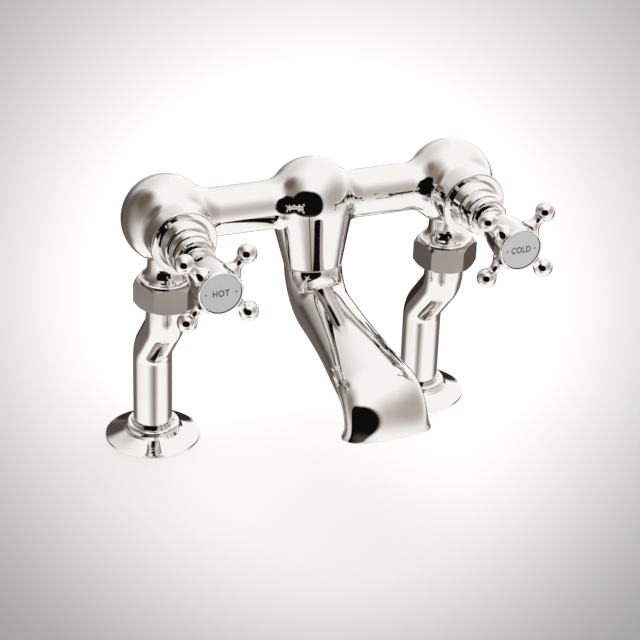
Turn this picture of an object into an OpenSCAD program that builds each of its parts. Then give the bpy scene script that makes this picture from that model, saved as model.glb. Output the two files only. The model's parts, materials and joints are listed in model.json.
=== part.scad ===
// Deck-mounted bath filler: a cross body on two cranked legs, with a quarter-turn valve
// and a crosshead handle at each end and a fishtail spout in the middle.
// X runs from the hot side to the cold side, Y to the back and Z up. The origin is on the
// deck, midway between the two legs. All lengths are in millimetres, all angles in degrees.

/* [Layout] */
// Distance between the two legs, and between the two valves
tap_spacing = 180; // [160:1:220]
// Height of the cross body's axis above the deck
axis_height = 161.5; // [152:0.5:200]
// How far the valves stand in front of the deck holes
crank_reach = 28; // [20:1:34]

/* [Cross body] */
// Diameter of the ball at each end
end_ball_d = 52.4; // [50:0.2:58]
// Diameter of the ball in the middle
centre_ball_d = 51.4; // [49:0.2:56]
// Outer diameter of the cross tube
cross_tube_d = 29; // [25:0.5:33]
// Radius of the hollow blend between a ball and the tube
ball_blend_r = 15; // [6:0.5:17]
// Wall of the cross tube
tube_wall = 4.5; // [3:0.25:5.5]
// Forward lean of the spout outlet from the vertical
outlet_lean = 9; // [4:0.5:14]
// Distance from the centre ball's centre to the spout seam
outlet_length = 40; // [37:0.5:46]
// Diameter of the outlet at the seam
seam_d = 34.8; // [32:0.2:38]

/* [Spout] */
// Distance from the cross body's axis forward to the middle of the mouth
spout_reach = 127; // [115:1:150]
// Distance from the cross body's axis down to the mouth
spout_drop = 88.5; // [86:0.5:100]
// Radius of the spout's first bend
spout_bend_r = 25.5; // [22:0.5:28]
// Radius of the bend above the mouth
mouth_bend_r = 20; // [16:0.5:22]
// Fall of the spout's straight run
spout_fall = 4.5; // [2:0.5:7]
// Width of the mouth
mouth_w = 54; // [46:0.5:60]
// Depth of the mouth from front to back
mouth_depth = 20; // [17:0.5:24]
// Wall of the spout
spout_wall = 2.4; // [2:0.1:3]

/* [Valve bell] */
// Distance from the ball's centre to the valve's seating face
boss_face = 32.6; // [31:0.2:36]
// Diameter of the valve boss behind the bell
boss_d = 36.6; // [34:0.2:38]
// Diameter of the bell's flange
bell_flange_d = 39.4; // [38:0.2:44]
// Thickness of the bell's flange
bell_flange_t = 3.5; // [2.5:0.1:4.5]
// Diameter of the bell where it rises from its flange
bell_foot_d = 31.6; // [30.8:0.2:32.8]
// Diameter of the bell's upper part
bell_d = 26.6; // [26.2:0.2:27.8]
// Length of the bell from its seat to its top
bell_length = 18.7; // [17:0.1:22]
// Diameter of the lock ring in front of the bell
lock_ring_d = 23.8; // [22:0.2:25]
// Length of the lock ring
lock_ring_l = 5.5; // [4.5:0.1:7]

/* [Handle] */
// Distance from a valve's axis to the middle of an arm ball
arm_reach = 25.2; // [23:0.2:32]
// Diameter of the ball on each arm
arm_ball_d = 11.4; // [10:0.2:13]
// Diameter of an arm at its waist
arm_waist_d = 6.2; // [5:0.2:7]
// Largest diameter of the hub
hub_d = 26.4; // [25:0.2:30]
// Length of the hub
hub_length = 41.9; // [40:0.1:48]
// Diameter of the index disc
index_d = 23.4; // [21:0.2:24]
// Turn of the closed handle on its spindle
handle_turn = 47.5; // [40:0.5:50]
// Travel of the handle from closed to open
valve_travel = 90; // [90]

/* [Legs] */
// Outer diameter of the legs
leg_d = 24; // [22:0.2:25]
// Slope of the crank from the vertical
crank_angle = 42; // [38:1:50]
// Radius of the crank's bends
crank_bend_r = 20; // [17:0.5:24]
// Diameter of the waterway in the legs
leg_bore_d = 17; // [14:0.5:18]
// Width of the union nuts across their flats
nut_af = 34; // [33:0.5:38]
// Height of the union nuts
nut_height = 15.8; // [15:0.1:18]
// Turn of the hot union nut from square to the front
hot_nut_turn = 8; // [0:1:59]
// Turn of the cold union nut from square to the front
cold_nut_turn = 19; // [0:1:59]

/* [Deck flanges] */
// Diameter of the deck flanges
flange_d = 58.5; // [54:0.5:70]
// Height of the flange's collar above the deck
flange_height = 10.5; // [9:0.5:14]
// Diameter of the flange's collar
collar_d = 34; // [32:0.5:36]

/* [Hidden] */
$fn = 96;

// Sides, as signs along X
hot = -1;
cold = 1;

// Finishes
nickel = [0.84, 0.81, 0.77];
brass = [0.80, 0.66, 0.36];
steel = [0.70, 0.71, 0.72];
rubber = [0.10, 0.10, 0.11];
ceramic = [0.93, 0.92, 0.88];
index_grey = [0.78, 0.79, 0.80];

// Clearances
fit_gap = 0.1;       // between screwed or pushed-in pieces
run_gap = 0.08;      // around a journal that turns in its bore
part_gap = 0.3;      // between a turning piece and a fixed one
cut_over = 1;        // how far a cut runs past the face it opens

// Cross body
end_ball_r = end_ball_d / 2;
centre_ball_r = centre_ball_d / 2;
tube_r = cross_tube_d / 2;
tube_bore_r = tube_r - tube_wall;
seam_r = seam_d / 2;
outlet_bore_r = 8;
blend_sink = 0.02;                       // how deep the start of a blend or cone lies in its ball
seam_edge = 0.4;                         // chamfers on both sides of the spout's seam
// The outlet's cone leaves the ball along its own slope
cone_ball_r = centre_ball_r - blend_sink;
cone_slope = atan2(outlet_length, seam_r) - acos(cone_ball_r / norm([outlet_length, seam_r]));
outlet_root = cone_ball_r * sin(cone_slope);
outlet_root_r = cone_ball_r * cos(cone_slope);

// Valve boss and its pocket
boss_r = boss_d / 2;
boss_blend_r = 12;
pocket_r = 10.6;
pocket_depth = 33.6;
seat_at = boss_face - pocket_depth;      // places along a valve axis count from the ball's centre
port_r = 5;                              // opening from the pocket to the cross tube
port_at = seat_at + 8.5;
inlet_r = 5.5;                           // rear passage from the leg to the seat
inlet_back = 7;
inlet_throat_r = 6;
inlet_throat_l = 12;

// Leg boss under each ball
neck_r = 11;
neck_end = 29;                           // distances below the ball's centre
skirt_r = 16;
skirt_top = 37.2;
nut_top = 39;
union_thread_r = 13.2;
union_thread_l = 8.5;
union_bore_r = leg_bore_d / 2;
union_bore_top = 18;
union_face = nut_top + union_thread_l;
washer_t = 1.8;
leg_collar_t = 2.5;
leg_collar_r = union_thread_r - 0.2;
leg_top = union_face + washer_t;
nut_bottom = nut_top + nut_height;
nut_chamfer = 2.2;
nut_chamfer_r = 0.94 * nut_af / 2 / cos(30);

// Legs and deck flanges, measured from the deck hole
leg_r = leg_d / 2;
inlet_thread_r = 9.316;                  // minor radius of a half-inch parallel pipe thread
inlet_thread_l = 16;
bend_step = 0.05;                        // how much thinner the bends are than the straights
bend_lap = 0.3;
crank_run = (crank_reach - 2 * crank_bend_r * (1 - cos(crank_angle))) / sin(crank_angle);
crank_drop = 2 * crank_bend_r * sin(crank_angle) + crank_run * cos(crank_angle);
crank_top = axis_height - nut_bottom - 6;
flange_r = flange_d / 2;
flange_rim = 1.3;
flange_foot_w = 4.2;
flange_seal_t = 2.2;
flange_bore_r = leg_r + fit_gap;
flange_throat_r = flange_bore_r + 1.2;
collar_r = collar_d / 2;
collar_round = 2.2;
collar_lip_w = 1.1;
collar_lip_h = 1.6;
dome_rise = 4.4;
dome_foot_w = 1.4;

// Spout centre line: an arc, a straight run, an arc back and a short tail
run_angle = 90 - spout_fall;
seam_y = -outlet_length * sin(outlet_lean);
seam_z = -outlet_length * cos(outlet_lean);
bend_end_y = seam_y - spout_bend_r * (cos(outlet_lean) - cos(run_angle));
bend_end_z = seam_z - spout_bend_r * (sin(run_angle) - sin(outlet_lean));
run_end_y = -spout_reach + mouth_bend_r * (1 - cos(run_angle));
run_length = (bend_end_y - run_end_y) / sin(run_angle);
run_end_z = bend_end_z - run_length * cos(run_angle);
tail_length = spout_drop + run_end_z - mouth_bend_r * sin(run_angle);
first_arc = spout_bend_r * (run_angle - outlet_lean) * PI / 180;
second_arc = mouth_bend_r * run_angle * PI / 180;
path_length = first_arc + run_length + second_arc + tail_length;
// Path share, share of the way from seam to mouth in width and in depth, and squareness
spout_form_shares = [
    [0.00, 0.00, 0.00, 2.00],
    [0.24, -0.02, 0.03, 2.00],
    [0.36, 0.05, 0.20, 2.00],
    [0.48, 0.16, 0.34, 2.02],
    [0.60, 0.34, 0.48, 2.06],
    [0.70, 0.52, 0.60, 2.12],
    [0.80, 0.66, 0.74, 2.22],
    [0.90, 0.73, 0.93, 2.34],
    [0.95, 0.77, 0.98, 2.40],
    [0.98, 0.86, 1.00, 2.40],
    [1.00, 1.00, 1.00, 2.40],
];
spout_rings = 30;
spout_sides = 36;
socket_r = 10.4;                         // screwed socket in the outlet and in the spout
socket_depth = 12;
nipple_bore_r = 7.6;
cavity_start = 11;                       // where the cast cavity begins below the seam
seal_r = 14;
seal_t = 1;

// Valve barrel
barrel_nose_r = pocket_r - 0.4;
barrel_thread_r = pocket_r - fit_gap;
barrel_thread_l = 11;
barrel_bore_r = 8.2;
barrel_neck_r = 8.5;
barrel_hex_af = 22;
barrel_hex_l = 5;
gasket_t = 1.2;
seat_seal_t = 2.4;
seat_seal_w = 1;
disc_t = 3.2;
disc_r = barrel_bore_r - 0.15;
window_l = 3.6;
window_w = 9;
plate_t = 1.2;
stop_l = 4.2;
journal_r = 5.4;
journal_l = 21;
shaft_r = 4;
nose_gap = 0.7;
fixed_disc_at = seat_at + seat_seal_t;
moving_disc_at = fixed_disc_at + disc_t;
window_at = moving_disc_at + disc_t + part_gap;
stop_at = window_at + window_l + part_gap;
stop_from = stop_at + plate_t;
shoulder_at = stop_from + stop_l + part_gap;
hex_at = boss_face + gasket_t;
bell_top = boss_face + bell_length;
ring_top = bell_top + lock_ring_l;
barrel_top = ring_top - 2.2;
clip_t = 1;
clip_r = 6;
clip_groove = 0.8;

// Ceramic discs: two flow openings each, as sectors
flow_in_r = 2.5;
flow_out_r = 6.6;
flow_angle = 80;
prong_angle = 30;
prong_in_r = 5.6;
prong_out_r = 7.6;
prong_depth = 1.5;
stop_angle = 24;
stop_slack = 2;
stop_in_r = journal_r + part_gap;

// Spindle seals
o_ring_t = 1.2;
o_ring_places = [6, 12];                 // from the spindle's shoulder

// Bell
bell_r = bell_d / 2;
bell_foot_r = bell_foot_d / 2;
bell_flange_r = bell_flange_d / 2;
bell_edge_r = 1.1;
bell_groove_at = 10.4;                   // from the bell's seat
bell_groove = 0.45;
bell_shoulder = 2.9;
bell_cap_t = 2.6;
bell_cavity_r = barrel_hex_af / 2 / cos(30) + 0.6;
bell_upper_cavity_r = 11.6;
lock_ring_r = lock_ring_d / 2;
lock_ring_edge = 0.9;
lock_ring_lip_t = 0.7;

// Handle hub
hub_r = hub_d / 2;
handle_gap = 1.5;
hub_back = ring_top + handle_gap;
hub_front = hub_back + hub_length;
hub_neck_r = 7.3;
hub_bead_r = 8.6;
hub_bead_l = 2.6;
hub_neck_l = 8.5;
hub_bell_l = 25;
rim_w = 1.2;
index_gap = 0.3;
index_edge = 0.3;
index_r = index_d / 2;
index_t = 2.2;
index_set_back = 0.3;
index_seat = hub_front - index_set_back - index_t;
hub_well_r = 9.5;
hub_well_depth = 5;
hub_web_t = 2.5;
well_floor = index_seat - hub_well_depth;
spindle_end = well_floor - hub_web_t;
index_skirt_l = 2.6;
index_skirt_w = 0.9;
arm_plane = hub_front - 7.2;
arm_waist_r = arm_waist_d / 2;
arm_ball_r = arm_ball_d / 2;
arm_flare_r = 7;
arm_flare_cap = 6.1;
arm_blend_r = 2.2;
screw_r = 2;
screw_l = 12.5;
screw_head_r = 3.8;
screw_head_t = 2.7;
screw_slot_w = 1;
screw_slot_depth = 1.1;

// Points on an arc of radius r round the centre c, from one angle to another
function arc_points(c, r, from, to, steps) =
    [for (i = [0:steps]) let (a = from + (to - from) * i / steps) c + r * [cos(a), sin(a)]];

// Straight-line reading of a table of rows by its first column, in one of its columns
function row_before(table, x) = max([for (i = [0:len(table) - 2]) if (table[i][0] <= x) i]);
function slope_at(table, i, col) =
    let (lo = max(i - 1, 0), hi = min(i + 1, len(table) - 1))
    (table[hi][col] - table[lo][col]) / (table[hi][0] - table[lo][0]);
function smooth_read(table, x, col) =
    let (
        i = row_before(table, min(max(x, 0), 0.999999)),
        w = table[i + 1][0] - table[i][0],
        t = (min(max(x, 0), 1) - table[i][0]) / w,
        p = table[i][col],
        q = table[i + 1][col],
        mp = w * slope_at(table, i, col),
        mq = w * slope_at(table, i + 1, col)
    )
    (2 * t * t * t - 3 * t * t + 1) * p + (t * t * t - 2 * t * t + t) * mp
    + (3 * t * t - 2 * t * t * t) * q + (t * t * t - t * t) * mq;

// Direction of the spout's centre line at a distance from the seam, from straight down
function path_angle(s) =
    s < first_arc ? outlet_lean + (run_angle - outlet_lean) * max(s, 0) / first_arc
    : s < first_arc + run_length ? run_angle
    : max(run_angle * (1 - (s - first_arc - run_length) / second_arc), 0);

// Point of the centre line at a distance from the seam, as [y, z] from the body's axis
function path_point(s) =
    s < 0 ? [seam_y, seam_z] - s * [sin(outlet_lean), cos(outlet_lean)]
    : s < first_arc
        ? [seam_y, seam_z] + spout_bend_r * [
            cos(path_angle(s)) - cos(outlet_lean),
            sin(outlet_lean) - sin(path_angle(s))]
    : s < first_arc + run_length
        ? [bend_end_y, bend_end_z] - (s - first_arc) * [sin(run_angle), cos(run_angle)]
    : s < first_arc + run_length + second_arc
        ? [run_end_y, run_end_z] - mouth_bend_r * [
            cos(path_angle(s)) - cos(run_angle),
            sin(run_angle) - sin(path_angle(s))]
    : [-spout_reach, -spout_drop + (path_length - s)];

// One section of the spout, set in by a wall: points round the centre line
function spout_section(s, inset) =
    let (
        share = s / path_length,
        c = path_point(s),
        a = path_angle(s),
        half_w = seam_r + (mouth_w / 2 - seam_r) * smooth_read(spout_form_shares, share, 1) - inset,
        half_d = seam_r + (mouth_depth / 2 - seam_r) * smooth_read(spout_form_shares, share, 2) - inset,
        e = 2 / smooth_read(spout_form_shares, share, 3)
    )
    [for (k = [0:spout_sides - 1])
        let (
            t = 360 * k / spout_sides,
            u = half_w * sign(cos(t)) * pow(abs(cos(t)), e),
            v = half_d * sign(sin(t)) * pow(abs(sin(t)), e)
        )
        [u, c[0] - v * cos(a), c[1] + v * sin(a)]];

// Places that follow the body and the valves

module at_body() {
    translate([0, -crank_reach, axis_height]) children();
}

// Local Z points forward out of the valve, counted from the ball's centre
module at_valve(side) {
    at_body() translate([side * tap_spacing / 2, 0, 0]) rotate([90, 0, 0]) children();
}

// Local Z points up from the middle of the ball above a leg
module at_ball(side) {
    at_body() translate([side * tap_spacing / 2, 0, 0]) children();
}

// Local Z points up from the deck hole under a leg
module at_deck(side) {
    translate([side * tap_spacing / 2, 0, 0]) children();
}

// Local Z points out of the spout outlet, counted from the centre ball's centre
module along_outlet() {
    at_body() rotate([180 - outlet_lean, 0, 0]) children();
}

// Shapes that repeat

module ring(r_out, r_in, from, to) {
    translate([0, 0, from]) difference() {
        cylinder(r = r_out, h = to - from);
        translate([0, 0, -cut_over]) cylinder(r = r_in, h = to - from + 2 * cut_over);
    }
}

// Part of a ring that spans an angle round Z, centred on a direction
module sector(r_in, r_out, from, to, middle, span) {
    translate([0, 0, from]) rotate([0, 0, middle - span / 2])
        rotate_extrude(angle = span) translate([r_in, 0]) square([r_out - r_in, to - from]);
}

// Half outline of the hollow blend from a ball to the bar that leaves it along Y
module blend_outline(ball_r, bar_r, blend_r, centre, way) {
    away = way * sqrt(pow(ball_r + blend_r, 2) - pow(bar_r + blend_r, 2));
    difference() {
        translate([0, centre]) polygon([[0, 0], [bar_r + blend_r, away], [0, away]]);
        translate([bar_r + blend_r, centre + away]) circle(r = blend_r);
    }
}

module hexagon_bar(af, h) {
    cylinder(r = af / 2 / cos(30), h = h, $fn = 6);
}

// Cross body

module cross_outline() {
    intersection() {
        translate([0, -tap_spacing / 2 - end_ball_r])
            square([end_ball_r, tap_spacing + 2 * end_ball_r]);
        union() {
            translate([0, -tap_spacing / 2]) square([tube_r, tap_spacing]);
            circle(r = centre_ball_r);
            for (side = [hot, cold]) {
                translate([0, side * tap_spacing / 2]) circle(r = end_ball_r);
                blend_outline(end_ball_r, tube_r, ball_blend_r, side * tap_spacing / 2, -side);
                blend_outline(centre_ball_r, tube_r, ball_blend_r, 0, side);
            }
        }
    }
}

module valve_boss() {
    rotate([90, 0, 0]) rotate_extrude() {
        square([boss_r, boss_face]);
        blend_outline(end_ball_r - blend_sink, boss_r, boss_blend_r, 0, 1);
    }
}

// Neck that flares to a skirt on the nut, and the thread below it
module leg_boss() {
    flare_h = skirt_top - neck_end;
    flare_w = skirt_r - neck_r;
    rotate_extrude() polygon(concat(
        [[0, 0], [0, -union_face], [union_thread_r, -union_face], [union_thread_r, -nut_top]],
        [[skirt_r, -nut_top], [skirt_r, -skirt_top]],
        [for (i = [1:8]) [skirt_r - flare_w * sin(90 * i / 8), -skirt_top + flare_h * (1 - cos(90 * i / 8))]],
        [[neck_r, 0]]
    ));
}

module outlet_cone() {
    rotate_extrude() polygon([
        [0, outlet_root], [outlet_root_r, outlet_root], [seam_r, outlet_length - seam_edge],
        [seam_r - seam_edge, outlet_length], [0, outlet_length],
    ]);
}

module waterways() {
    tube_end = tap_spacing / 2 - pocket_r - barrel_nose_r;
    rotate([0, 90, 0]) translate([0, 0, -tube_end]) cylinder(r = tube_bore_r, h = 2 * tube_end);
    for (side = [hot, cold]) translate([side * tap_spacing / 2, 0, 0]) {
        rotate([90, 0, 0]) {
            translate([0, 0, seat_at]) cylinder(r = pocket_r, h = pocket_depth + cut_over);
            translate([0, 0, seat_at - inlet_throat_l])
                cylinder(r = inlet_throat_r, h = inlet_throat_l + cut_over);
        }
        translate([0, -port_at, 0]) rotate([0, -side * 90, 0])
            cylinder(r = port_r, h = tap_spacing / 2 - tube_end + cut_over);
        translate([0, inlet_back, -union_bore_top - cut_over])
            cylinder(r = inlet_r, h = union_bore_top + cut_over);
        translate([0, 0, -union_face - cut_over])
            cylinder(r = union_bore_r, h = union_face - union_bore_top + cut_over);
    }
}

module body_casting() {
    color(nickel) difference() {
        union() {
            at_body() rotate([0, 90, 0]) rotate_extrude() cross_outline();
            along_outlet() outlet_cone();
            for (side = [hot, cold]) at_ball(side) {
                valve_boss();
                leg_boss();
            }
        }
        at_body() waterways();
        along_outlet() {
            cylinder(r = outlet_bore_r, h = outlet_length + cut_over);
            translate([0, 0, outlet_length - socket_depth]) cylinder(r = socket_r, h = socket_depth + cut_over);
            translate([0, 0, outlet_length - seal_t]) cylinder(r = seal_r + fit_gap, h = seal_t + cut_over);
        }
    }
}

// Spout

// Shell between the outer sections and the sections set in by the wall
module spout_shell() {
    outer = concat(
        [spout_section(0, seam_edge), spout_section(seam_edge, 0)],
        [for (i = [1:spout_rings]) spout_section(path_length * i / spout_rings, 0)]);
    inner = [for (i = [0:spout_rings])
        spout_section(cavity_start + (path_length - cavity_start) * i / spout_rings, spout_wall)];
    n = spout_sides;
    m = spout_rings;
    inside = n * len(outer);
    last = inside - n;
    points = concat([for (r = outer) each r], [for (r = inner) each r]);
    outer_faces = [for (i = [0:m], k = [0:n - 1]) let (j = (k + 1) % n)
        each [[i * n + k, (i + 1) * n + k, (i + 1) * n + j], [i * n + k, (i + 1) * n + j, i * n + j]]];
    inner_faces = [for (i = [0:m - 1], k = [0:n - 1]) let (j = (k + 1) % n)
        each [
            [inside + i * n + k, inside + (i + 1) * n + j, inside + (i + 1) * n + k],
            [inside + i * n + k, inside + i * n + j, inside + (i + 1) * n + j]]];
    rim_faces = [for (k = [0:n - 1]) let (j = (k + 1) % n)
        each [
            [last + k, inside + m * n + k, inside + m * n + j],
            [last + k, inside + m * n + j, last + j]]];
    top_face = [[for (k = [0:n - 1]) k]];
    cavity_face = [[for (k = [n - 1:-1:0]) inside + k]];
    polyhedron(points = points, faces = concat(outer_faces, inner_faces, rim_faces, top_face, cavity_face));
}

module spout() {
    color(nickel) difference() {
        at_body() spout_shell();
        along_outlet() translate([0, 0, outlet_length - cut_over]) rotate([0, 0, 90 / spout_sides])
            cylinder(r = socket_r, h = socket_depth + cut_over);
    }
}

module spout_nipple() {
    color(brass) along_outlet() translate([0, 0, outlet_length])
        ring(socket_r - fit_gap, nipple_bore_r, -socket_depth, socket_depth);
}

module spout_seal() {
    color(rubber) along_outlet() translate([0, 0, outlet_length]) ring(seal_r, socket_r, -seal_t, 0);
}

// Valve, all along the valve axis

module valve_barrel(side) {
    nose = seat_at + nose_gap;
    thread_from = boss_face - barrel_thread_l;
    color(brass) at_valve(side) mirror([side == cold ? 1 : 0, 0, 0]) {
        difference() {
            union() {
                translate([0, 0, nose]) cylinder(r = barrel_nose_r, h = thread_from - nose);
                translate([0, 0, thread_from]) cylinder(r = barrel_thread_r, h = hex_at - thread_from);
                translate([0, 0, hex_at]) hexagon_bar(barrel_hex_af, barrel_hex_l);
                translate([0, 0, hex_at + barrel_hex_l])
                    cylinder(r = barrel_neck_r, h = barrel_top - hex_at - barrel_hex_l);
            }
            translate([0, 0, nose - cut_over]) cylinder(r = barrel_bore_r, h = shoulder_at - nose + cut_over);
            translate([0, 0, nose]) cylinder(r = journal_r + run_gap, h = shoulder_at + journal_l - nose);
            translate([0, 0, nose]) cylinder(r = shaft_r + part_gap, h = barrel_top - nose + cut_over);
            translate([-pocket_r, -window_w / 2, window_at]) cube([2 * pocket_r, window_w, window_l]);
        }
        sector(stop_in_r, barrel_bore_r + fit_gap, stop_from + part_gap, shoulder_at, 0, stop_angle);
    }
}

module valve_gasket(side) {
    color(rubber) at_valve(side) ring(barrel_hex_af / 2, barrel_thread_r + fit_gap / 2, boss_face, hex_at);
}

module seat_seal(side) {
    color(rubber) at_valve(side) ring(disc_r, disc_r - seat_seal_w, seat_at, fixed_disc_at);
}

module fixed_disc(side) {
    color(ceramic) at_valve(side) difference() {
        translate([0, 0, fixed_disc_at]) cylinder(r = disc_r, h = disc_t);
        for (middle = [90, 270])
            sector(flow_in_r, flow_out_r, fixed_disc_at - cut_over, fixed_disc_at + disc_t + cut_over,
                middle, flow_angle);
    }
}

module moving_disc(side) {
    top = moving_disc_at + disc_t;
    color(ceramic) at_valve(side) difference() {
        translate([0, 0, moving_disc_at]) cylinder(r = disc_r, h = disc_t);
        for (middle = [0, 180]) {
            sector(flow_in_r, barrel_bore_r + cut_over, moving_disc_at - cut_over, top + cut_over,
                middle, flow_angle + 2 * stop_slack);
            sector(prong_in_r - part_gap / 2, barrel_bore_r + cut_over, top - prong_depth - part_gap / 2,
                top + cut_over, middle + 90, prong_angle + stop_slack);
        }
    }
}

// Driver prongs on a plate, stop collar, sealed journal and shaft
module spindle(side) {
    prong_from = moving_disc_at + disc_t - prong_depth;
    color(brass) at_valve(side) mirror([side == cold ? 1 : 0, 0, 0]) difference() {
        union() {
            for (middle = [90, 270])
                sector(prong_in_r, prong_out_r, prong_from, stop_at + fit_gap, middle, prong_angle);
            difference() {
                translate([0, 0, stop_at]) cylinder(r = disc_r, h = plate_t + stop_l);
                sector(journal_r - fit_gap, barrel_bore_r + cut_over, stop_from, stop_from + stop_l + cut_over,
                    -valve_travel / 2, valve_travel + stop_angle + 2 * stop_slack);
            }
            translate([0, 0, stop_at + fit_gap])
                cylinder(r = journal_r, h = shoulder_at + journal_l - part_gap - stop_at - fit_gap);
            translate([0, 0, shoulder_at]) cylinder(r = shaft_r, h = spindle_end - shoulder_at);
        }
        for (at = o_ring_places)
            ring(journal_r + cut_over, journal_r - o_ring_t, shoulder_at + at - o_ring_t / 2,
                shoulder_at + at + o_ring_t / 2);
        ring(shaft_r + cut_over, shaft_r - clip_groove, barrel_top + fit_gap, barrel_top + fit_gap + clip_t);
        translate([0, 0, spindle_end - screw_l]) cylinder(r = screw_r + fit_gap / 2, h = screw_l + cut_over);
    }
}

module spindle_seals(side) {
    color(rubber) at_valve(side) for (at = o_ring_places)
        translate([0, 0, shoulder_at + at]) rotate_extrude()
            translate([journal_r - o_ring_t / 2, 0]) circle(d = o_ring_t);
}

module spindle_clip(side) {
    color(steel) at_valve(side) difference() {
        ring(clip_r, shaft_r - clip_groove, barrel_top + fit_gap, barrel_top + fit_gap + clip_t);
        translate([-shaft_r / 2, 0, barrel_top]) cube([shaft_r, clip_r + cut_over, 2 * clip_t]);
    }
}

// Flange, tapered bell with a turned line, shoulder, and the cap that the lock ring holds
module bell(side) {
    shoulder_from = bell_length - bell_shoulder;
    color(nickel) at_valve(side) translate([0, 0, boss_face]) rotate_extrude() difference() {
        polygon(concat(
            [[barrel_neck_r + fit_gap, 0]],
            arc_points([bell_flange_r - bell_edge_r, bell_edge_r], bell_edge_r, -90, 0, 6),
            arc_points([bell_flange_r - bell_edge_r, bell_flange_t - bell_edge_r], bell_edge_r, 0, 90, 6),
            [[bell_foot_r, bell_flange_t], [bell_r + bell_groove, bell_groove_at]],
            [[bell_r, bell_groove_at + bell_groove]],
            [[bell_r, bell_groove_at + 2 * bell_groove], [bell_r, shoulder_from]],
            [[lock_ring_r + bell_groove, bell_length], [barrel_neck_r + fit_gap, bell_length]]
        ));
        translate([0, -cut_over]) square([bell_cavity_r, gasket_t + barrel_hex_l + part_gap + cut_over]);
        square([bell_upper_cavity_r, bell_length - bell_cap_t]);
    }
}

module lock_ring(side) {
    color(nickel) at_valve(side) translate([0, 0, bell_top]) rotate_extrude() polygon([
        [barrel_neck_r + fit_gap, 0],
        [lock_ring_r, 0],
        [lock_ring_r, lock_ring_l - 2 * lock_ring_edge],
        [lock_ring_r - lock_ring_edge, lock_ring_l - lock_ring_edge / 2],
        [lock_ring_r - 2 * lock_ring_edge, lock_ring_l],
        [shaft_r + part_gap, lock_ring_l],
        [shaft_r + part_gap, lock_ring_l - lock_ring_lip_t],
        [barrel_neck_r + fit_gap, lock_ring_l - lock_ring_lip_t],
    ]);
}

// Handle

// Bead, neck, bell and rim of the hub, turned in one piece
module hub() {
    bell_from = hub_back + hub_neck_l;
    rotate_extrude() polygon(concat(
        [[0, hub_back], [hub_bead_r - hub_bead_l / 2, hub_back]],
        arc_points([hub_bead_r - hub_bead_l / 2, hub_back + hub_bead_l / 2], hub_bead_l / 2, -90, 90, 8),
        [[hub_neck_r, hub_back + hub_bead_l + hub_bead_l / 4]],
        [for (i = [0:12]) let (t = i / 12)
            [hub_neck_r + (hub_r - hub_neck_r) * t, bell_from + hub_bell_l * t * t]],
        [[hub_r, hub_front - rim_w], [hub_r - rim_w / 4, hub_front - rim_w / 4], [hub_r - rim_w / 2, hub_front]],
        [[0, hub_front]]
    ));
}

// Half outline of an arm, from the hub out along Y to its ball
module arm_outline() {
    flare_from = hub_r - rim_w;
    intersection() {
        square([arm_ball_d, arm_reach + arm_ball_r]);
        union() {
            square([arm_waist_r, arm_reach]);
            intersection() {
                difference() {
                    translate([0, flare_from]) square([arm_waist_r + arm_flare_r, arm_flare_r]);
                    translate([arm_waist_r + arm_flare_r, flare_from + arm_flare_r]) circle(r = arm_flare_r);
                }
                square([arm_flare_cap, arm_reach]);
            }
            translate([0, arm_reach]) circle(r = arm_ball_r);
            blend_outline(arm_ball_r, arm_waist_r, arm_blend_r, arm_reach, -1);
        }
    }
}

module crosshead(side) {
    color(nickel) at_valve(side) rotate([0, 0, handle_turn]) difference() {
        union() {
            hub();
            for (quarter = [0:3])
                translate([0, 0, arm_plane]) rotate([0, 0, 90 * quarter - 90]) rotate([-90, 0, 0])
                    rotate_extrude() arm_outline();
        }
        translate([0, 0, index_seat]) cylinder(r = index_r + index_gap, h = index_t + cut_over);
        translate([0, 0, well_floor]) cylinder(r = hub_well_r, h = hub_well_depth + cut_over);
        translate([0, 0, hub_back - cut_over])
            cylinder(r = shaft_r + fit_gap / 2, h = well_floor - hub_web_t - hub_back + cut_over);
        translate([0, 0, hub_back]) cylinder(r = screw_r + fit_gap, h = well_floor - hub_back + cut_over);
    }
}

module handle_screw(side) {
    color(steel) at_valve(side) translate([0, 0, well_floor]) difference() {
        union() {
            translate([0, 0, -screw_l + cut_over]) cylinder(r = screw_r, h = screw_l);
            cylinder(r1 = screw_head_r, r2 = screw_head_r - screw_slot_w, h = screw_head_t);
        }
        for (turn = [0, 90]) rotate([0, 0, turn])
            translate([-screw_head_r / 2, -screw_slot_w / 2, screw_head_t - screw_slot_depth])
                cube([screw_head_r, screw_slot_w, screw_slot_depth + cut_over]);
    }
}

module index_disc(side) {
    color(index_grey) at_valve(side) translate([0, 0, index_seat]) {
        cylinder(r = index_r, h = index_t - index_edge);
        translate([0, 0, index_t - index_edge]) cylinder(r1 = index_r, r2 = index_r - index_edge, h = index_edge);
        ring(hub_well_r - fit_gap, hub_well_r - fit_gap - index_skirt_w, -index_skirt_l, 0);
    }
}

// Legs

module union_nut(side) {
    hex_r = nut_af / 2 / cos(30);
    turn = side == hot ? hot_nut_turn : cold_nut_turn;
    color(nickel) at_ball(side) translate([0, 0, -nut_bottom]) difference() {
        intersection() {
            rotate([0, 0, -turn]) hexagon_bar(nut_af, nut_height);
            rotate_extrude() polygon([
                [0, 0], [nut_chamfer_r - nut_chamfer / 2, 0], [hex_r, nut_chamfer],
                [hex_r, nut_height - nut_chamfer], [nut_chamfer_r - nut_chamfer / 2, nut_height], [0, nut_height],
            ]);
        }
        translate([0, 0, -cut_over]) cylinder(r = leg_r + fit_gap, h = nut_height + 2 * cut_over);
        translate([0, 0, nut_bottom - leg_top - leg_collar_t])
            cylinder(r = union_thread_r + fit_gap, h = nut_height);
    }
}

module union_washer(side) {
    color(rubber) at_ball(side) ring(union_thread_r - fit_gap, union_bore_r, -leg_top, -union_face);
}

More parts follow.
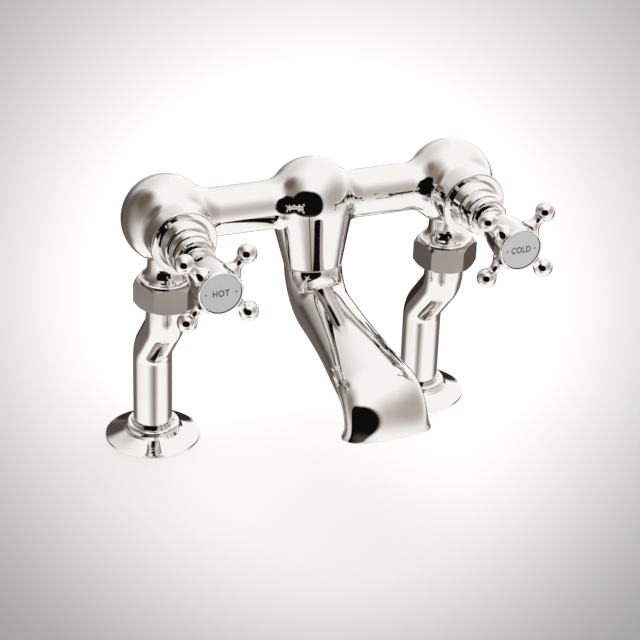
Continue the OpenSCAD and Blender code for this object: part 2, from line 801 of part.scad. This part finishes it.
// A solid bar along the cranked centre line, from the union down to the deck. Each bend is a
// hair thinner than the straights, which lap over its ends.
module crank_bar(r, over) {
    bend = crank_bend_r;
    run_y = -crank_reach + bend * (1 - cos(crank_angle));
    run_z = crank_top - bend * sin(crank_angle);
    low_y = run_y + crank_run * sin(crank_angle);
    low_z = run_z - crank_run * cos(crank_angle);
    translate([0, -crank_reach, crank_top - bend_lap])
        cylinder(r = r, h = axis_height - leg_top - crank_top + bend_lap + over);
    translate([0, -crank_reach + bend, crank_top]) rotate([-90, 0, -90])
        rotate_extrude(angle = crank_angle) translate([bend, 0]) circle(r = r - bend_step);
    translate([0, run_y, run_z]) rotate([180 + crank_angle, 0, 0]) translate([0, 0, -bend_lap])
        cylinder(r = r, h = crank_run + 2 * bend_lap);
    translate([0, low_y - bend * cos(crank_angle), low_z - bend * sin(crank_angle)]) rotate([90, 0, 90])
        rotate_extrude(angle = crank_angle) translate([bend, 0]) circle(r = r - bend_step);
    translate([0, 0, -over]) cylinder(r = r, h = crank_top - crank_drop + bend_lap + over);
}

module leg(side) {
    color(nickel) at_deck(side) difference() {
        union() {
            crank_bar(leg_r, 0);
            translate([0, -crank_reach, axis_height - leg_top - leg_collar_t])
                cylinder(r = leg_collar_r, h = leg_collar_t);
        }
        crank_bar(leg_bore_d / 2, cut_over);
        translate([0, 0, -cut_over]) cylinder(r = inlet_thread_r, h = inlet_thread_l + cut_over);
    }
}

// Domed cover over the deck hole, with a rolled collar round the leg
module deck_flange(side) {
    lip_r = flange_bore_r + collar_lip_w;
    dome_top = flange_rim + dome_rise;
    color(nickel) at_deck(side) rotate_extrude() difference() {
        polygon(concat(
            [[flange_bore_r, 0], [flange_r, 0], [flange_r, flange_rim]],
            [for (i = [1:6]) let (t = i / 6)
                [flange_r + (collar_r + dome_foot_w - flange_r) * t, flange_rim + dome_rise * pow(t, 1.1)]],
            [[collar_r, dome_top + dome_foot_w]],
            arc_points([collar_r - collar_round, flange_height - collar_round], collar_round, 0, 90, 8),
            [[lip_r, flange_height], [lip_r, flange_height + collar_lip_h / 2]],
            [[lip_r - collar_lip_w / 3, flange_height + collar_lip_h]],
            [[flange_bore_r, flange_height + collar_lip_h]]
        ));
        translate([flange_throat_r, -cut_over])
            square([flange_r - flange_foot_w - flange_throat_r, flange_seal_t + cut_over]);
    }
}

module flange_seal(side) {
    color(rubber) at_deck(side)
        ring(flange_r - flange_foot_w - fit_gap, flange_throat_r + fit_gap, 0, flange_seal_t);
}

body_casting();
spout();
spout_nipple();
spout_seal();
valve_barrel(hot);  // hot_valve_barrel
valve_gasket(hot);  // hot_valve_gasket
seat_seal(hot);  // hot_seat_seal
fixed_disc(hot);  // hot_fixed_disc
moving_disc(hot);  // hot_moving_disc
spindle(hot);  // hot_spindle
spindle_seals(hot);  // hot_spindle_seals
spindle_clip(hot);  // hot_spindle_clip
bell(hot);  // hot_bell
lock_ring(hot);  // hot_lock_ring
crosshead(hot);  // hot_crosshead
handle_screw(hot);  // hot_handle_screw
index_disc(hot);  // hot_index_disc
union_nut(hot);  // hot_union_nut
union_washer(hot);  // hot_union_washer
leg(hot);  // hot_leg
deck_flange(hot);  // hot_deck_flange
flange_seal(hot);  // hot_flange_seal
valve_barrel(cold);  // cold_valve_barrel
valve_gasket(cold);  // cold_valve_gasket
seat_seal(cold);  // cold_seat_seal
fixed_disc(cold);  // cold_fixed_disc
moving_disc(cold);  // cold_moving_disc
spindle(cold);  // cold_spindle
spindle_seals(cold);  // cold_spindle_seals
spindle_clip(cold);  // cold_spindle_clip
bell(cold);  // cold_bell
lock_ring(cold);  // cold_lock_ring
crosshead(cold);  // cold_crosshead
handle_screw(cold);  // cold_handle_screw
index_disc(cold);  // cold_index_disc
union_nut(cold);  // cold_union_nut
union_washer(cold);  // cold_union_washer
leg(cold);  // cold_leg
deck_flange(cold);  // cold_deck_flange
flange_seal(cold);  // cold_flange_seal
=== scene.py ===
"""Looks of the deck-mounted bath filler: finishes, smooth skins, lettering, light and camera."""

import json
import math

import bmesh
import bpy
from mathutils import Matrix, Vector


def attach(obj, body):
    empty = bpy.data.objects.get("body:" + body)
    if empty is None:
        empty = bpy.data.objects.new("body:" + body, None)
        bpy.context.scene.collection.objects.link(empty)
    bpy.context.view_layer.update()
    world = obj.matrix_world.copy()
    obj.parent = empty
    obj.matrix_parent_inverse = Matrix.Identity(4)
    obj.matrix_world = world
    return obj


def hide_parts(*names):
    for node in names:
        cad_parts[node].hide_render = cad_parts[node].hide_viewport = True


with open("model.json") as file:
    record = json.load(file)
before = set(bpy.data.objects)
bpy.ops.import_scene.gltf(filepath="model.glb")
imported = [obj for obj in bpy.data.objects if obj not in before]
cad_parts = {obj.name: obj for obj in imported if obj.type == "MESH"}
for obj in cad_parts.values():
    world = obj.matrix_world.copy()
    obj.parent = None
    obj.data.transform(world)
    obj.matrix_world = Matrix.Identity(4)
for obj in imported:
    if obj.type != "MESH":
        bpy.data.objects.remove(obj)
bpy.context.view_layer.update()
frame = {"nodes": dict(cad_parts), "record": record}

MM = 0.001

# Sizes of the part's source, in millimetres and degrees, for the pieces made here
AXIS = Vector((0.0, -28.0, 161.5))
TAP_SPACING = 180.0
SIDE_X = {"hot": -TAP_SPACING / 2, "cold": TAP_SPACING / 2}

SEAM_R, SEAM_EDGE, OUTLET_L, OUTLET_LEAN = 17.4, 0.4, 40.0, 9.0
BEND_R, MOUTH_BEND_R, RUN_FALL = 25.5, 20.0, 4.5
SPOUT_REACH, SPOUT_DROP = 127.0, 88.5
MOUTH_W, MOUTH_D, SPOUT_WALL, CAVITY_START = 54.0, 20.0, 2.4, 11.0
# Share of the spout's path, then how far its width and depth have gone from the seam's to the
# mouth's, and the power of its outline, where 2 is an ellipse
FORM = (
    (0.00, 0.00, 0.00, 2.00),
    (0.24, -0.02, 0.03, 2.00),
    (0.36, 0.05, 0.20, 2.00),
    (0.48, 0.16, 0.34, 2.02),
    (0.60, 0.34, 0.48, 2.06),
    (0.70, 0.52, 0.60, 2.12),
    (0.80, 0.66, 0.74, 2.22),
    (0.90, 0.73, 0.93, 2.34),
    (0.95, 0.77, 0.98, 2.40),
    (0.98, 0.86, 1.00, 2.40),
    (1.00, 1.00, 1.00, 2.40),
)
FORM_WIDTH, FORM_DEPTH, FORM_POWER = 1, 2, 3

CRANK_REACH, CRANK_ANGLE, CRANK_BEND_R = 28.0, 42.0, 20.0
CRANK_TOP, CRANK_RUN, LEG_TOP = 100.7, 26.4908, 112.2
LEG_R, BORE_R, COLLAR_R, COLLAR_T = 12.0, 8.5, 13.0, 2.5
INLET_R, INLET_L = 9.316, 16.0

BOSS_FACE, BELL_L, LOCK_RING_L, HANDLE_GAP, HUB_L = 32.6, 18.7, 5.5, 1.5, 41.9
INDEX_SET_BACK = 0.3
INDEX_FACE = BOSS_FACE + BELL_L + LOCK_RING_L + HANDLE_GAP + HUB_L - INDEX_SET_BACK

# Detail of the pieces made here
SPOUT_SIDES, SPOUT_STEPS, CAVITY_STEPS = 144, 150, 90
LIP_R, LIP_ANGLES = 0.55, (22.5, 45.0, 67.5, 90.0)
LEG_SIDES, CRANK_STEPS, LEG_SHARP_ANGLE = 96, 24, 35.0
WORD_HEIGHT, WORD_RELIEF, WORD_WEIGHT, WORD_SPACING, WORD_STEPS = 3.9, 0.04, 0.011, 1.06, 6
DOT_R, DOT_FROM_MIDDLE, DOT_SIDES = 0.5, 8.6, 20

# The side that the photo shows, in degrees from the front
PHOTO_SIDE = -22.0

# The camera's place in metres, and its angles in degrees
CAMERA_PLACE = Vector((-0.42664, -1.10516, 0.69543))
CAMERA_ELEVATION, CAMERA_ROLL = 27.96, -2.062
CAMERA_LENS, CAMERA_SENSOR = 120.74, 36.0
CAMERA_CLIP = 0.05, 50.0

# The floor's shading is painted light: a pale pool in an oval round the tap, with painted
# shade darkening beyond it, and a painted glow that thins the shadows on it. The oval is fixed
# to the floor and turned to the side that PHOTO_SIDE gives. It grows by a share per metre towards
# the back, and stops narrowing at its near end. Sizes are in metres, and the painted shade's fade
# is counted in half sizes.
FLOOR_SIZE, FLOOR_GREY, FLOOR_PAINTED_GLOW = 16.0, 0.91, 0.37
LIGHT_POOL_MIDDLE, LIGHT_POOL_HALF_W, LIGHT_POOL_HALF_L = (0.06372, 0.10852, 0.0), 0.2207, 0.47779
LIGHT_POOL_GROWTH, LIGHT_POOL_NEAR_END = 0.76394, -0.909
PAINTED_SHADE_START, PAINTED_SHADE_END, PAINTED_SHADE_MOST = 0.45, 1.6, 0.68

LAMP_SIZE, LAMP_PLACE, LAMP_AIM, LAMP_POWER = 1.8, (0.1, -0.2, 1.6), (0.0, -0.06, 0.12), 3.0

SKY_STRENGTH = 1.11
# Each patch of the sky lies over those before it: turn in degrees to the right of the photo's
# side, rise above level, half width, half height, fade as a share of the half size, colour,
# weight, and the power of the outline
SKY_PATCHES = (
    (-110, 16, 56, 40, 0.6, (0.24, 0.185, 0.145), 0.42, 2.5),
    (-60, 32, 32, 27, 0.8, (0.20, 0.145, 0.105), 0.87, 2.2),
    (-136, -12, 38, 22, 0.6, (0.045, 0.036, 0.03), 0.9, 2.0),
    (-180, -30, 77, 17, 0.22, (0.15, 0.12, 0.10), 0.97, 4.0),
    (180, -30, 77, 17, 0.22, (0.15, 0.12, 0.10), 0.97, 4.0),
    (72, 15, 46, 28, 0.7, (0.27, 0.215, 0.165), 0.74, 2.0),
    (-8, 9.5, 42, 35, 0.08, (0.004, 0.004, 0.004), 1.0, 2.6),
)

# Panels that only reflections see: name, size, place, the point that it faces, colour, fade as a
# share of the half size, and the power of the outline
FLAGS = (
    ("left_flag", (0.40, 0.52), (-0.21, 0.08, 0.22), (-0.06, 0.08, 0.22),
     (0.14, 0.108, 0.085), 0.98, 2.0),
    ("high_flag", (0.34, 0.46), (-0.36, 0.06, 0.42), (-0.09, 0.0, 0.10),
     (0.19, 0.14, 0.105), 0.75, 2.2),
    ("low_shade", (0.56, 0.46), (-0.150, -0.372, -0.16), (0.0, 0.0, -0.16),
     (0.40, 0.345, 0.30), 0.98, 2.0),
    ("low_line", (0.019, 0.40), (-0.148, -0.366, -0.16), (0.0, 0.0, -0.16),
     (0.01, 0.008, 0.007), 0.2, 3.0),
    ("back_shade", (0.70, 0.18), (0.105, 0.26, -0.03), (0.0, 0.0, -0.03),
     (0.03, 0.025, 0.022), 0.35, 3.0),
    ("back_left", (0.24, 0.18), (-0.14, 0.22, 0.07), (-0.09, 0.0, 0.02),
     (0.09, 0.075, 0.067), 0.6, 2.2),
)


def radians(*angles):
    return [math.radians(a) for a in angles]


# Nodes

# The colour sockets of a mix node, whose names it gives to other kinds of value too
MIX_FIRST, MIX_SECOND, MIX_RESULT = 6, 7, 2


def feed(tree, socket, value):
    """Gives a socket a constant, or links it to another node's output."""
    if isinstance(value, bpy.types.NodeSocket):
        tree.links.new(value, socket)
    else:
        socket.default_value = value


def maths(tree, operation, *values):
    node = tree.nodes.new("ShaderNodeMath")
    node.operation = operation
    for socket, value in zip(node.inputs, values):
        feed(tree, socket, value)
    return node.outputs["Value"]


def dot(tree, socket, axis):
    node = tree.nodes.new("ShaderNodeVectorMath")
    node.operation = "DOT_PRODUCT"
    feed(tree, node.inputs[0], socket)
    feed(tree, node.inputs[1], axis)
    return node.outputs["Value"]


def axes(tree, socket):
    """The X, Y and Z of a vector."""
    node = tree.nodes.new("ShaderNodeSeparateXYZ")
    feed(tree, node.inputs["Vector"], socket)
    return node.outputs["X"], node.outputs["Y"], node.outputs["Z"]


def soft_step(tree, value, start, end, before, after):
    """Goes smoothly from one number to another as the value passes from start to end."""
    node = tree.nodes.new("ShaderNodeMapRange")
    node.interpolation_type = "SMOOTHSTEP"
    feed(tree, node.inputs["Value"], value)
    feed(tree, node.inputs["From Min"], start)
    feed(tree, node.inputs["From Max"], end)
    feed(tree, node.inputs["To Min"], before)
    feed(tree, node.inputs["To Max"], after)
    return node.outputs["Result"]


def blend(tree, share, first, second):
    """The first colour, going over to the second as the share grows to 1."""
    node = tree.nodes.new("ShaderNodeMix")
    node.data_type = "RGBA"
    feed(tree, node.inputs["Factor"], share)
    feed(tree, node.inputs[MIX_FIRST], first)
    feed(tree, node.inputs[MIX_SECOND], second)
    return node.outputs[MIX_RESULT]


def outline_reach(tree, offsets, power):
    """How far out a point lies in a rounded outline: 0 in the middle, 1 on the edge."""
    parts = [maths(tree, "POWER", maths(tree, "ABSOLUTE", off), power) for off in offsets]
    return maths(tree, "POWER", maths(tree, "ADD", *parts), 1.0 / power)


# Finishes


def finish(name, colour, metallic, roughness, grain=None):
    """A Principled material. Grain (low, high, scale) varies its roughness with fine noise."""
    m = bpy.data.materials.new(name)
    m.use_nodes = True
    tree = m.node_tree
    shader = tree.nodes["Principled BSDF"]
    shader.inputs["Base Color"].default_value = (*colour, 1.0)
    shader.inputs["Metallic"].default_value = metallic
    shader.inputs["Roughness"].default_value = roughness
    if grain:
        low, high, scale = grain
        noise = tree.nodes.new("ShaderNodeTexNoise")
        noise.inputs["Scale"].default_value = scale
        coords = tree.nodes.new("ShaderNodeTexCoord")
        tree.links.new(coords.outputs["Object"], noise.inputs["Vector"])
        spread = tree.nodes.new("ShaderNodeMapRange")
        spread.inputs["To Min"].default_value = low
        spread.inputs["To Max"].default_value = high
        tree.links.new(noise.outputs["Fac"], spread.inputs["Value"])
        tree.links.new(spread.outputs["Result"], shader.inputs["Roughness"])
    return m


LOOKS = {
    "nickel": finish("polished_nickel", (0.825, 0.806, 0.785), 1.0, 0.04, (0.02, 0.05, 60.0)),
    # Painted shade: the union nuts take a darker, browner copy of the nickel, with a rougher
    # finish.
    "nut_nickel_painted_shade": finish("satin_nickel_painted_shade", (0.45, 0.415, 0.39), 1.0, 0.12, (0.09, 0.15, 200.0)),
    "brass": finish("machined_brass", (0.78, 0.60, 0.30), 1.0, 0.25, (0.20, 0.32, 400.0)),
    "steel": finish("plain_steel", (0.62, 0.62, 0.63), 1.0, 0.28, (0.22, 0.34, 400.0)),
    "rubber": finish("black_rubber", (0.03, 0.03, 0.032), 0.0, 0.7, (0.6, 0.8, 300.0)),
    "ceramic": finish("lapped_ceramic", (0.86, 0.85, 0.81), 0.0, 0.25, (0.2, 0.3, 300.0)),
    "index_metal": finish("satin_index", (0.66, 0.665, 0.675), 0.85, 0.38, (0.34, 0.44, 500.0)),
    "lettering": finish("index_ink", (0.03, 0.03, 0.034), 0.0, 0.5),
}

for entry in frame["record"]["subparts"]:
    mesh = frame["nodes"][entry["node"]].data
    mesh.materials.clear()
    # The union nuts take the darker copy of the nickel, which is painted shade.
    look = "nut_nickel_painted_shade" if entry["node"].endswith("union_nut") else entry["material_slot"]
    mesh.materials.append(LOOKS[look])


def skin(node, verts, faces):
    """A nickel mesh that stands for one node of the tap's body."""
    mesh = bpy.data.meshes.new(node + "_smooth")
    mesh.from_pydata(verts, [], faces)
    mesh.validate()
    mesh.materials.append(LOOKS["nickel"])
    piece = bpy.data.objects.new(node + "_smooth", mesh)
    bpy.context.scene.collection.objects.link(piece)
    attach(piece, "tap")
    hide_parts(node)
    return mesh


# Smooth spout. Points of its centre line are (y, z) from the body's axis.


def form_at(share, column):
    """A column of the form table at a share of the path, read smoothly as in the part's source."""
    i = max(k for k in range(len(FORM) - 1) if FORM[k][0] <= share)
    low, high = FORM[i], FORM[i + 1]

    def slope(k):
        a, b = FORM[max(k - 1, 0)], FORM[min(k + 1, len(FORM) - 1)]
        return (b[column] - a[column]) / (b[0] - a[0])

    step = high[0] - low[0]
    t = (share - low[0]) / step
    return (
        (2 * t**3 - 3 * t**2 + 1) * low[column]
        + (t**3 - 2 * t**2 + t) * step * slope(i)
        + (3 * t**2 - 2 * t**3) * high[column]
        + (t**3 - t**2) * step * slope(i + 1)
    )


def along_bend(r, start, end):
    """The way from one angle of a bend to another, with angles from straight down."""
    return r * Vector((math.cos(end) - math.cos(start), math.sin(start) - math.sin(end)))


SEAM_ANGLE, RUN_ANGLE = radians(OUTLET_LEAN, 90.0 - RUN_FALL)
SEAM = Vector((-OUTLET_L * math.sin(SEAM_ANGLE), -OUTLET_L * math.cos(SEAM_ANGLE)))
BEND_END = SEAM + along_bend(BEND_R, SEAM_ANGLE, RUN_ANGLE)
RUN_END_Y = -SPOUT_REACH + MOUTH_BEND_R * (1 - math.cos(RUN_ANGLE))
RUN_L = (BEND_END.x - RUN_END_Y) / math.sin(RUN_ANGLE)
RUN_END = Vector((RUN_END_Y, BEND_END.y - RUN_L * math.cos(RUN_ANGLE)))
BEND_L = BEND_R * (RUN_ANGLE - SEAM_ANGLE)
MOUTH_BEND_L = MOUTH_BEND_R * RUN_ANGLE
MOUTH_L = SPOUT_DROP + RUN_END.y - MOUTH_BEND_R * math.sin(RUN_ANGLE)
PATH_L = BEND_L + RUN_L + MOUTH_BEND_L + MOUTH_L


def centre_line(s):
    """A point and its direction from straight down, at a distance from the seam."""
    if s < BEND_L:
        a = SEAM_ANGLE + (RUN_ANGLE - SEAM_ANGLE) * s / BEND_L
        return SEAM + along_bend(BEND_R, SEAM_ANGLE, a), a
    if s < BEND_L + RUN_L:
        down_the_run = Vector((math.sin(RUN_ANGLE), math.cos(RUN_ANGLE)))
        return BEND_END - (s - BEND_L) * down_the_run, RUN_ANGLE
    if s < BEND_L + RUN_L + MOUTH_BEND_L:
        a = RUN_ANGLE * (1 - (s - BEND_L - RUN_L) / MOUTH_BEND_L)
        return RUN_END - along_bend(MOUTH_BEND_R, RUN_ANGLE, a), a
    return Vector((-SPOUT_REACH, -SPOUT_DROP + PATH_L - s)), 0.0


def spout_ring(s, inset):
    """One ring at a distance from the seam, set in from the outside, in metres."""
    share = s / PATH_L
    (cy, cz), a = centre_line(s)
    half_w = SEAM_R + (MOUTH_W / 2 - SEAM_R) * form_at(share, FORM_WIDTH) - inset
    half_d = SEAM_R + (MOUTH_D / 2 - SEAM_R) * form_at(share, FORM_DEPTH) - inset
    power = 2.0 / form_at(share, FORM_POWER)
    ring = []
    for k in range(SPOUT_SIDES):
        t = 2 * math.pi * k / SPOUT_SIDES
        u = half_w * math.copysign(abs(math.cos(t)) ** power, math.cos(t))
        v = half_d * math.copysign(abs(math.sin(t)) ** power, math.sin(t))
        point = AXIS + Vector((u, cy - v * math.cos(a), cz + v * math.sin(a)))
        ring.append(point * MM)
    return ring


def lip_ring(a, inset, way):
    """One ring of the lip's rounding, which leaves the wall's face at an inset."""
    return spout_ring(PATH_L - LIP_R * (1 - math.sin(a)), inset + way * LIP_R * (1 - math.cos(a)))


def spout():
    """The outside, the rounded lip and the cavity in one skin, with a flat cap at each end."""
    lip_start = PATH_L - LIP_R
    lip = radians(*LIP_ANGLES)
    outside = lip_start - SEAM_EDGE
    cavity = lip_start - CAVITY_START
    rings = [spout_ring(0.0, SEAM_EDGE), spout_ring(SEAM_EDGE, 0.0)]
    for i in range(1, SPOUT_STEPS + 1):
        rings.append(spout_ring(SEAM_EDGE + outside * i / SPOUT_STEPS, 0.0))
    rings += [lip_ring(a, 0.0, 1) for a in lip]
    rings += [lip_ring(a, SPOUT_WALL, -1) for a in (*reversed(lip), 0.0)]
    for i in range(1, CAVITY_STEPS + 1):
        rings.append(spout_ring(lip_start - cavity * i / CAVITY_STEPS, SPOUT_WALL))
    n = SPOUT_SIDES
    verts = [p for ring in rings for p in ring]
    faces = [
        (i * n + k, (i + 1) * n + k, (i + 1) * n + (k + 1) % n, i * n + (k + 1) % n)
        for i in range(len(rings) - 1)
        for k in range(n)
    ]
    faces.append(tuple(range(n)))
    faces.append(tuple(reversed(range(len(verts) - n, len(verts)))))
    mesh = skin("spout", verts, faces)
    for poly in mesh.polygons:
        poly.use_smooth = len(poly.vertices) == 4


# Smooth legs. A place on the centre line is its point (y, z) and its direction from upright.


def leg_path():
    """The places of the cranked centre line, in millimetres, from the deck upwards."""
    bend = math.radians(CRANK_ANGLE)
    turns = [bend * i / CRANK_STEPS for i in range(CRANK_STEPS + 1)]
    low = CRANK_TOP - 2 * CRANK_BEND_R * math.sin(bend) - CRANK_RUN * math.cos(bend)
    path = [((0.0, 0.0), 0.0)]
    for a in turns:
        point = -CRANK_BEND_R * (1 - math.cos(a)), low + CRANK_BEND_R * math.sin(a)
        path.append((point, a))
    for a in reversed(turns):
        y = -CRANK_REACH + CRANK_BEND_R * (1 - math.cos(a))
        path.append(((y, CRANK_TOP - CRANK_BEND_R * math.sin(a)), a))
    path.append(((-CRANK_REACH, LEG_TOP), 0.0))
    return path


def leg_ring(x, place, r):
    (y, z), a = place
    ring = []
    for k in range(LEG_SIDES):
        t = 2 * math.pi * k / LEG_SIDES
        out = r * math.sin(t)
        point = Vector((x + r * math.cos(t), y - out * math.cos(a), z - out * math.sin(a)))
        ring.append(point * MM)
    return ring


def leg(side):
    """One closed sweep: up the outside, round the collar, down the bore and the inlet's thread."""
    path = leg_path()
    collar = ((-CRANK_REACH, LEG_TOP - COLLAR_T), 0.0)
    thread = ((0.0, INLET_L), 0.0)
    stations = [(place, LEG_R) for place in path[:-1]]
    stations += [(collar, LEG_R), (collar, COLLAR_R), (path[-1], COLLAR_R)]
    stations += [(place, BORE_R) for place in reversed(path[1:])]
    stations += [(thread, BORE_R), (thread, INLET_R), (path[0], INLET_R)]
    rings = [leg_ring(SIDE_X[side], place, r) for place, r in stations]
    n = LEG_SIDES
    verts = [p for ring in rings for p in ring]
    faces = []
    for i in range(len(rings)):
        here, there = i * n, (i + 1) % len(rings) * n
        for k in range(n):
            after = (k + 1) % n
            faces.append((here + k, here + after, there + after, there + k))
    mesh = skin(side + "_leg", verts, faces)
    mesh.shade_smooth()
    mesh.set_sharp_from_angle(angle=math.radians(LEG_SHARP_ANGLE))


# Index lettering


def lettering(side, word, width):
    """Thin dark capitals between two dots, hardly proud of one index disc's face."""
    text = bpy.data.curves.new(side + "_word", "FONT")
    text.body = word
    text.align_x = "CENTER"
    text.align_y = "CENTER"
    text.extrude = WORD_RELIEF * MM
    text.offset = WORD_WEIGHT
    text.space_character = WORD_SPACING
    text.resolution_u = WORD_STEPS
    holder = bpy.data.objects.new(side + "_word", text)
    bpy.context.scene.collection.objects.link(holder)
    bpy.context.view_layer.update()
    mesh = bpy.data.meshes.new_from_object(holder)
    bpy.data.objects.remove(holder)
    xs = [v.co.x for v in mesh.vertices]
    ys = [v.co.y for v in mesh.vertices]
    left, right, low, high = min(xs), max(xs), min(ys), max(ys)
    centre = Vector(((left + right) / 2, (low + high) / 2, 0.0))
    fit = Matrix.Diagonal((width * MM / (right - left), WORD_HEIGHT * MM / (high - low), 1.0, 1.0))
    mesh.transform(fit @ Matrix.Translation(-centre))
    full = bmesh.new()
    full.from_mesh(mesh)
    for way in (-1, 1):
        bmesh.ops.create_circle(
            full, cap_ends=True, segments=DOT_SIDES, radius=DOT_R * MM,
            matrix=Matrix.Translation((way * DOT_FROM_MIDDLE * MM, 0.0, WORD_RELIEF * MM)),
        )
    full.to_mesh(mesh)
    full.free()
    face = Vector((SIDE_X[side] * MM, (AXIS.y - INDEX_FACE) * MM, AXIS.z * MM))
    mesh.transform(Matrix.Translation(face) @ Matrix.Rotation(math.pi / 2, 4, "X"))
    mesh.name = side + "_lettering"
    mesh.materials.clear()
    mesh.materials.append(LOOKS["lettering"])
    piece = bpy.data.objects.new(side + "_lettering", mesh)
    bpy.context.scene.collection.objects.link(piece)
    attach(piece, side + "_handle")


spout()
leg("hot")
leg("cold")
lettering("hot", "HOT", 9.6)
lettering("cold", "COLD", 12.0)


# Floor and light


def studio_sheet(name, size, place, aim):
    """A rectangle that belongs to the studio, facing a point."""
    mesh = bpy.data.meshes.new(name)
    w, h = size[0] / 2, size[1] / 2
    mesh.from_pydata([(-w, -h, 0), (w, -h, 0), (w, h, 0), (-w, h, 0)], [], [(0, 1, 2, 3)])
    mesh.materials.append(finish(name, (0.0, 0.0, 0.0), 0.0, 1.0))
    sheet = bpy.data.objects.new(name, mesh)
    sheet.location = place
    sheet.rotation_euler = (Vector(aim) - Vector(place)).to_track_quat("Z", "Y").to_euler()
    bpy.context.scene.collection.objects.link(sheet)
    return sheet


def floor_with_painted_light():
    """The floor, whose painted light and shade stay where they are from every side."""
    floor = studio_sheet("floor", (FLOOR_SIZE, FLOOR_SIZE), (0, 0, 0), (0, 0, 1))
    floor.rotation_euler = (0.0, 0.0, 0.0)
    floor.visible_glossy = False
    tree = floor.data.materials[0].node_tree
    coords = tree.nodes.new("ShaderNodeTexCoord")
    place = tree.nodes.new("ShaderNodeMapping")
    place.vector_type = "TEXTURE"
    place.inputs["Location"].default_value = LIGHT_POOL_MIDDLE
    place.inputs["Rotation"].default_value = (0.0, 0.0, math.radians(PHOTO_SIDE))
    tree.links.new(coords.outputs["Object"], place.inputs["Vector"])
    aside, back, _ = axes(tree, place.outputs["Vector"])
    back = maths(tree, "MAXIMUM", back, LIGHT_POOL_NEAR_END)
    offsets = [
        maths(tree, "DIVIDE", aside, LIGHT_POOL_HALF_W),
        maths(tree, "DIVIDE", back, LIGHT_POOL_HALF_L),
    ]
    growth = maths(tree, "MULTIPLY_ADD", back, LIGHT_POOL_GROWTH, 1.0)
    reach = maths(tree, "DIVIDE", outline_reach(tree, offsets, 2.0), growth)
    # Painted shade: the floor's colour and glow darken outside the painted pool of light.
    fade = soft_step(tree, reach, PAINTED_SHADE_START, PAINTED_SHADE_END, 0.0, PAINTED_SHADE_MOST)
    pale = (FLOOR_GREY, FLOOR_GREY, FLOOR_GREY, 1.0)
    shade = blend(tree, fade, pale, (0.0, 0.0, 0.0, 1.0))
    shader = tree.nodes["Principled BSDF"]
    tree.links.new(shade, shader.inputs["Base Color"])
    # The floor's glow is painted light, which thins the shadows that fall on it.
    tree.links.new(shade, shader.inputs["Emission Color"])
    shader.inputs["Emission Strength"].default_value = FLOOR_PAINTED_GLOW


def top_light():
    light = bpy.data.lights.new("top_box", "AREA")
    light.shape = "RECTANGLE"
    light.size = light.size_y = LAMP_SIZE
    light.energy = LAMP_POWER
    lamp = bpy.data.objects.new("top_box", light)
    lamp.location = LAMP_PLACE
    ahead = Vector(LAMP_AIM) - Vector(LAMP_PLACE)
    lamp.rotation_euler = ahead.to_track_quat("-Z", "Y").to_euler()
    lamp.visible_glossy = False
    bpy.context.scene.collection.objects.link(lamp)


def sky():
    """White all round the tap, under soft patches that are placed by direction."""
    world = bpy.data.worlds.new("studio")
    world.use_nodes = True
    bpy.context.scene.world = world
    tree = world.node_tree
    way = tree.nodes.new("ShaderNodeTexCoord").outputs["Generated"]
    a = math.radians(PHOTO_SIDE)
    facing = dot(tree, way, (math.sin(a), -math.cos(a), 0.0))
    right = dot(tree, way, (math.cos(a), math.sin(a), 0.0))
    turned = maths(tree, "ARCTAN2", right, facing)
    raised = maths(tree, "ARCSINE", axes(tree, way)[2])
    colour = (1.0, 1.0, 1.0, 1.0)
    for turn, rise, half_w, half_h, fade, tint, weight, power in SKY_PATCHES:
        offsets = []
        for angle, middle, half in ((turned, turn, half_w), (raised, rise, half_h)):
            off = maths(tree, "SUBTRACT", angle, math.radians(middle))
            offsets.append(maths(tree, "DIVIDE", off, math.radians(half)))
        reach = outline_reach(tree, offsets, power)
        share = soft_step(tree, reach, 1.0 - fade, 1.0 + fade, weight, 0.0)
        colour = blend(tree, share, colour, (*tint, 1.0))
    background = tree.nodes["Background"]
    background.inputs["Strength"].default_value = SKY_STRENGTH
    tree.links.new(colour, background.inputs["Color"])


def soft_flag(name, size, place, aim, colour, fade, power):
    """A panel with soft edges that only reflections see."""
    sheet = studio_sheet(name, size, place, aim)
    tree = sheet.data.materials[0].node_tree
    shader = tree.nodes["Principled BSDF"]
    shader.inputs["Emission Color"].default_value = (*colour, 1.0)
    shader.inputs["Emission Strength"].default_value = 1.0
    shader.inputs["Specular IOR Level"].default_value = 0.0
    coords = tree.nodes.new("ShaderNodeTexCoord")
    across, along, _ = axes(tree, coords.outputs["Object"])
    offsets = [
        maths(tree, "DIVIDE", off, full / 2) for off, full in zip((across, along), size)
    ]
    reach = outline_reach(tree, offsets, power)
    tree.links.new(soft_step(tree, reach, 1.0 - fade, 1.0, 1.0, 0.0), shader.inputs["Alpha"])
    sheet.visible_camera = False
    sheet.visible_diffuse = False
    sheet.visible_shadow = False


floor_with_painted_light()
top_light()
sky()
for flag in FLAGS:
    soft_flag(*flag)
bpy.context.scene.view_settings.view_transform = "Standard"


# Camera

lens = bpy.data.cameras.new("photo_camera")
lens.lens = CAMERA_LENS
lens.sensor_width = CAMERA_SENSOR
lens.clip_start, lens.clip_end = CAMERA_CLIP
eye = bpy.data.objects.new("photo_camera", lens)
azimuth, elevation, roll = radians(PHOTO_SIDE, CAMERA_ELEVATION, CAMERA_ROLL)
back = Vector((
    math.sin(azimuth) * math.cos(elevation),
    -math.cos(azimuth) * math.cos(elevation),
    math.sin(elevation),
))
level = Vector((0, 0, 1)).cross(back).normalized()
upright = back.cross(level)
across = level * math.cos(roll) - upright * math.sin(roll)
above = level * math.sin(roll) + upright * math.cos(roll)
facing = Matrix((across, above, back)).transposed().to_4x4()
eye.matrix_world = Matrix.Translation(CAMERA_PLACE) @ facing
bpy.context.scene.collection.objects.link(eye)
bpy.context.scene.camera = eye
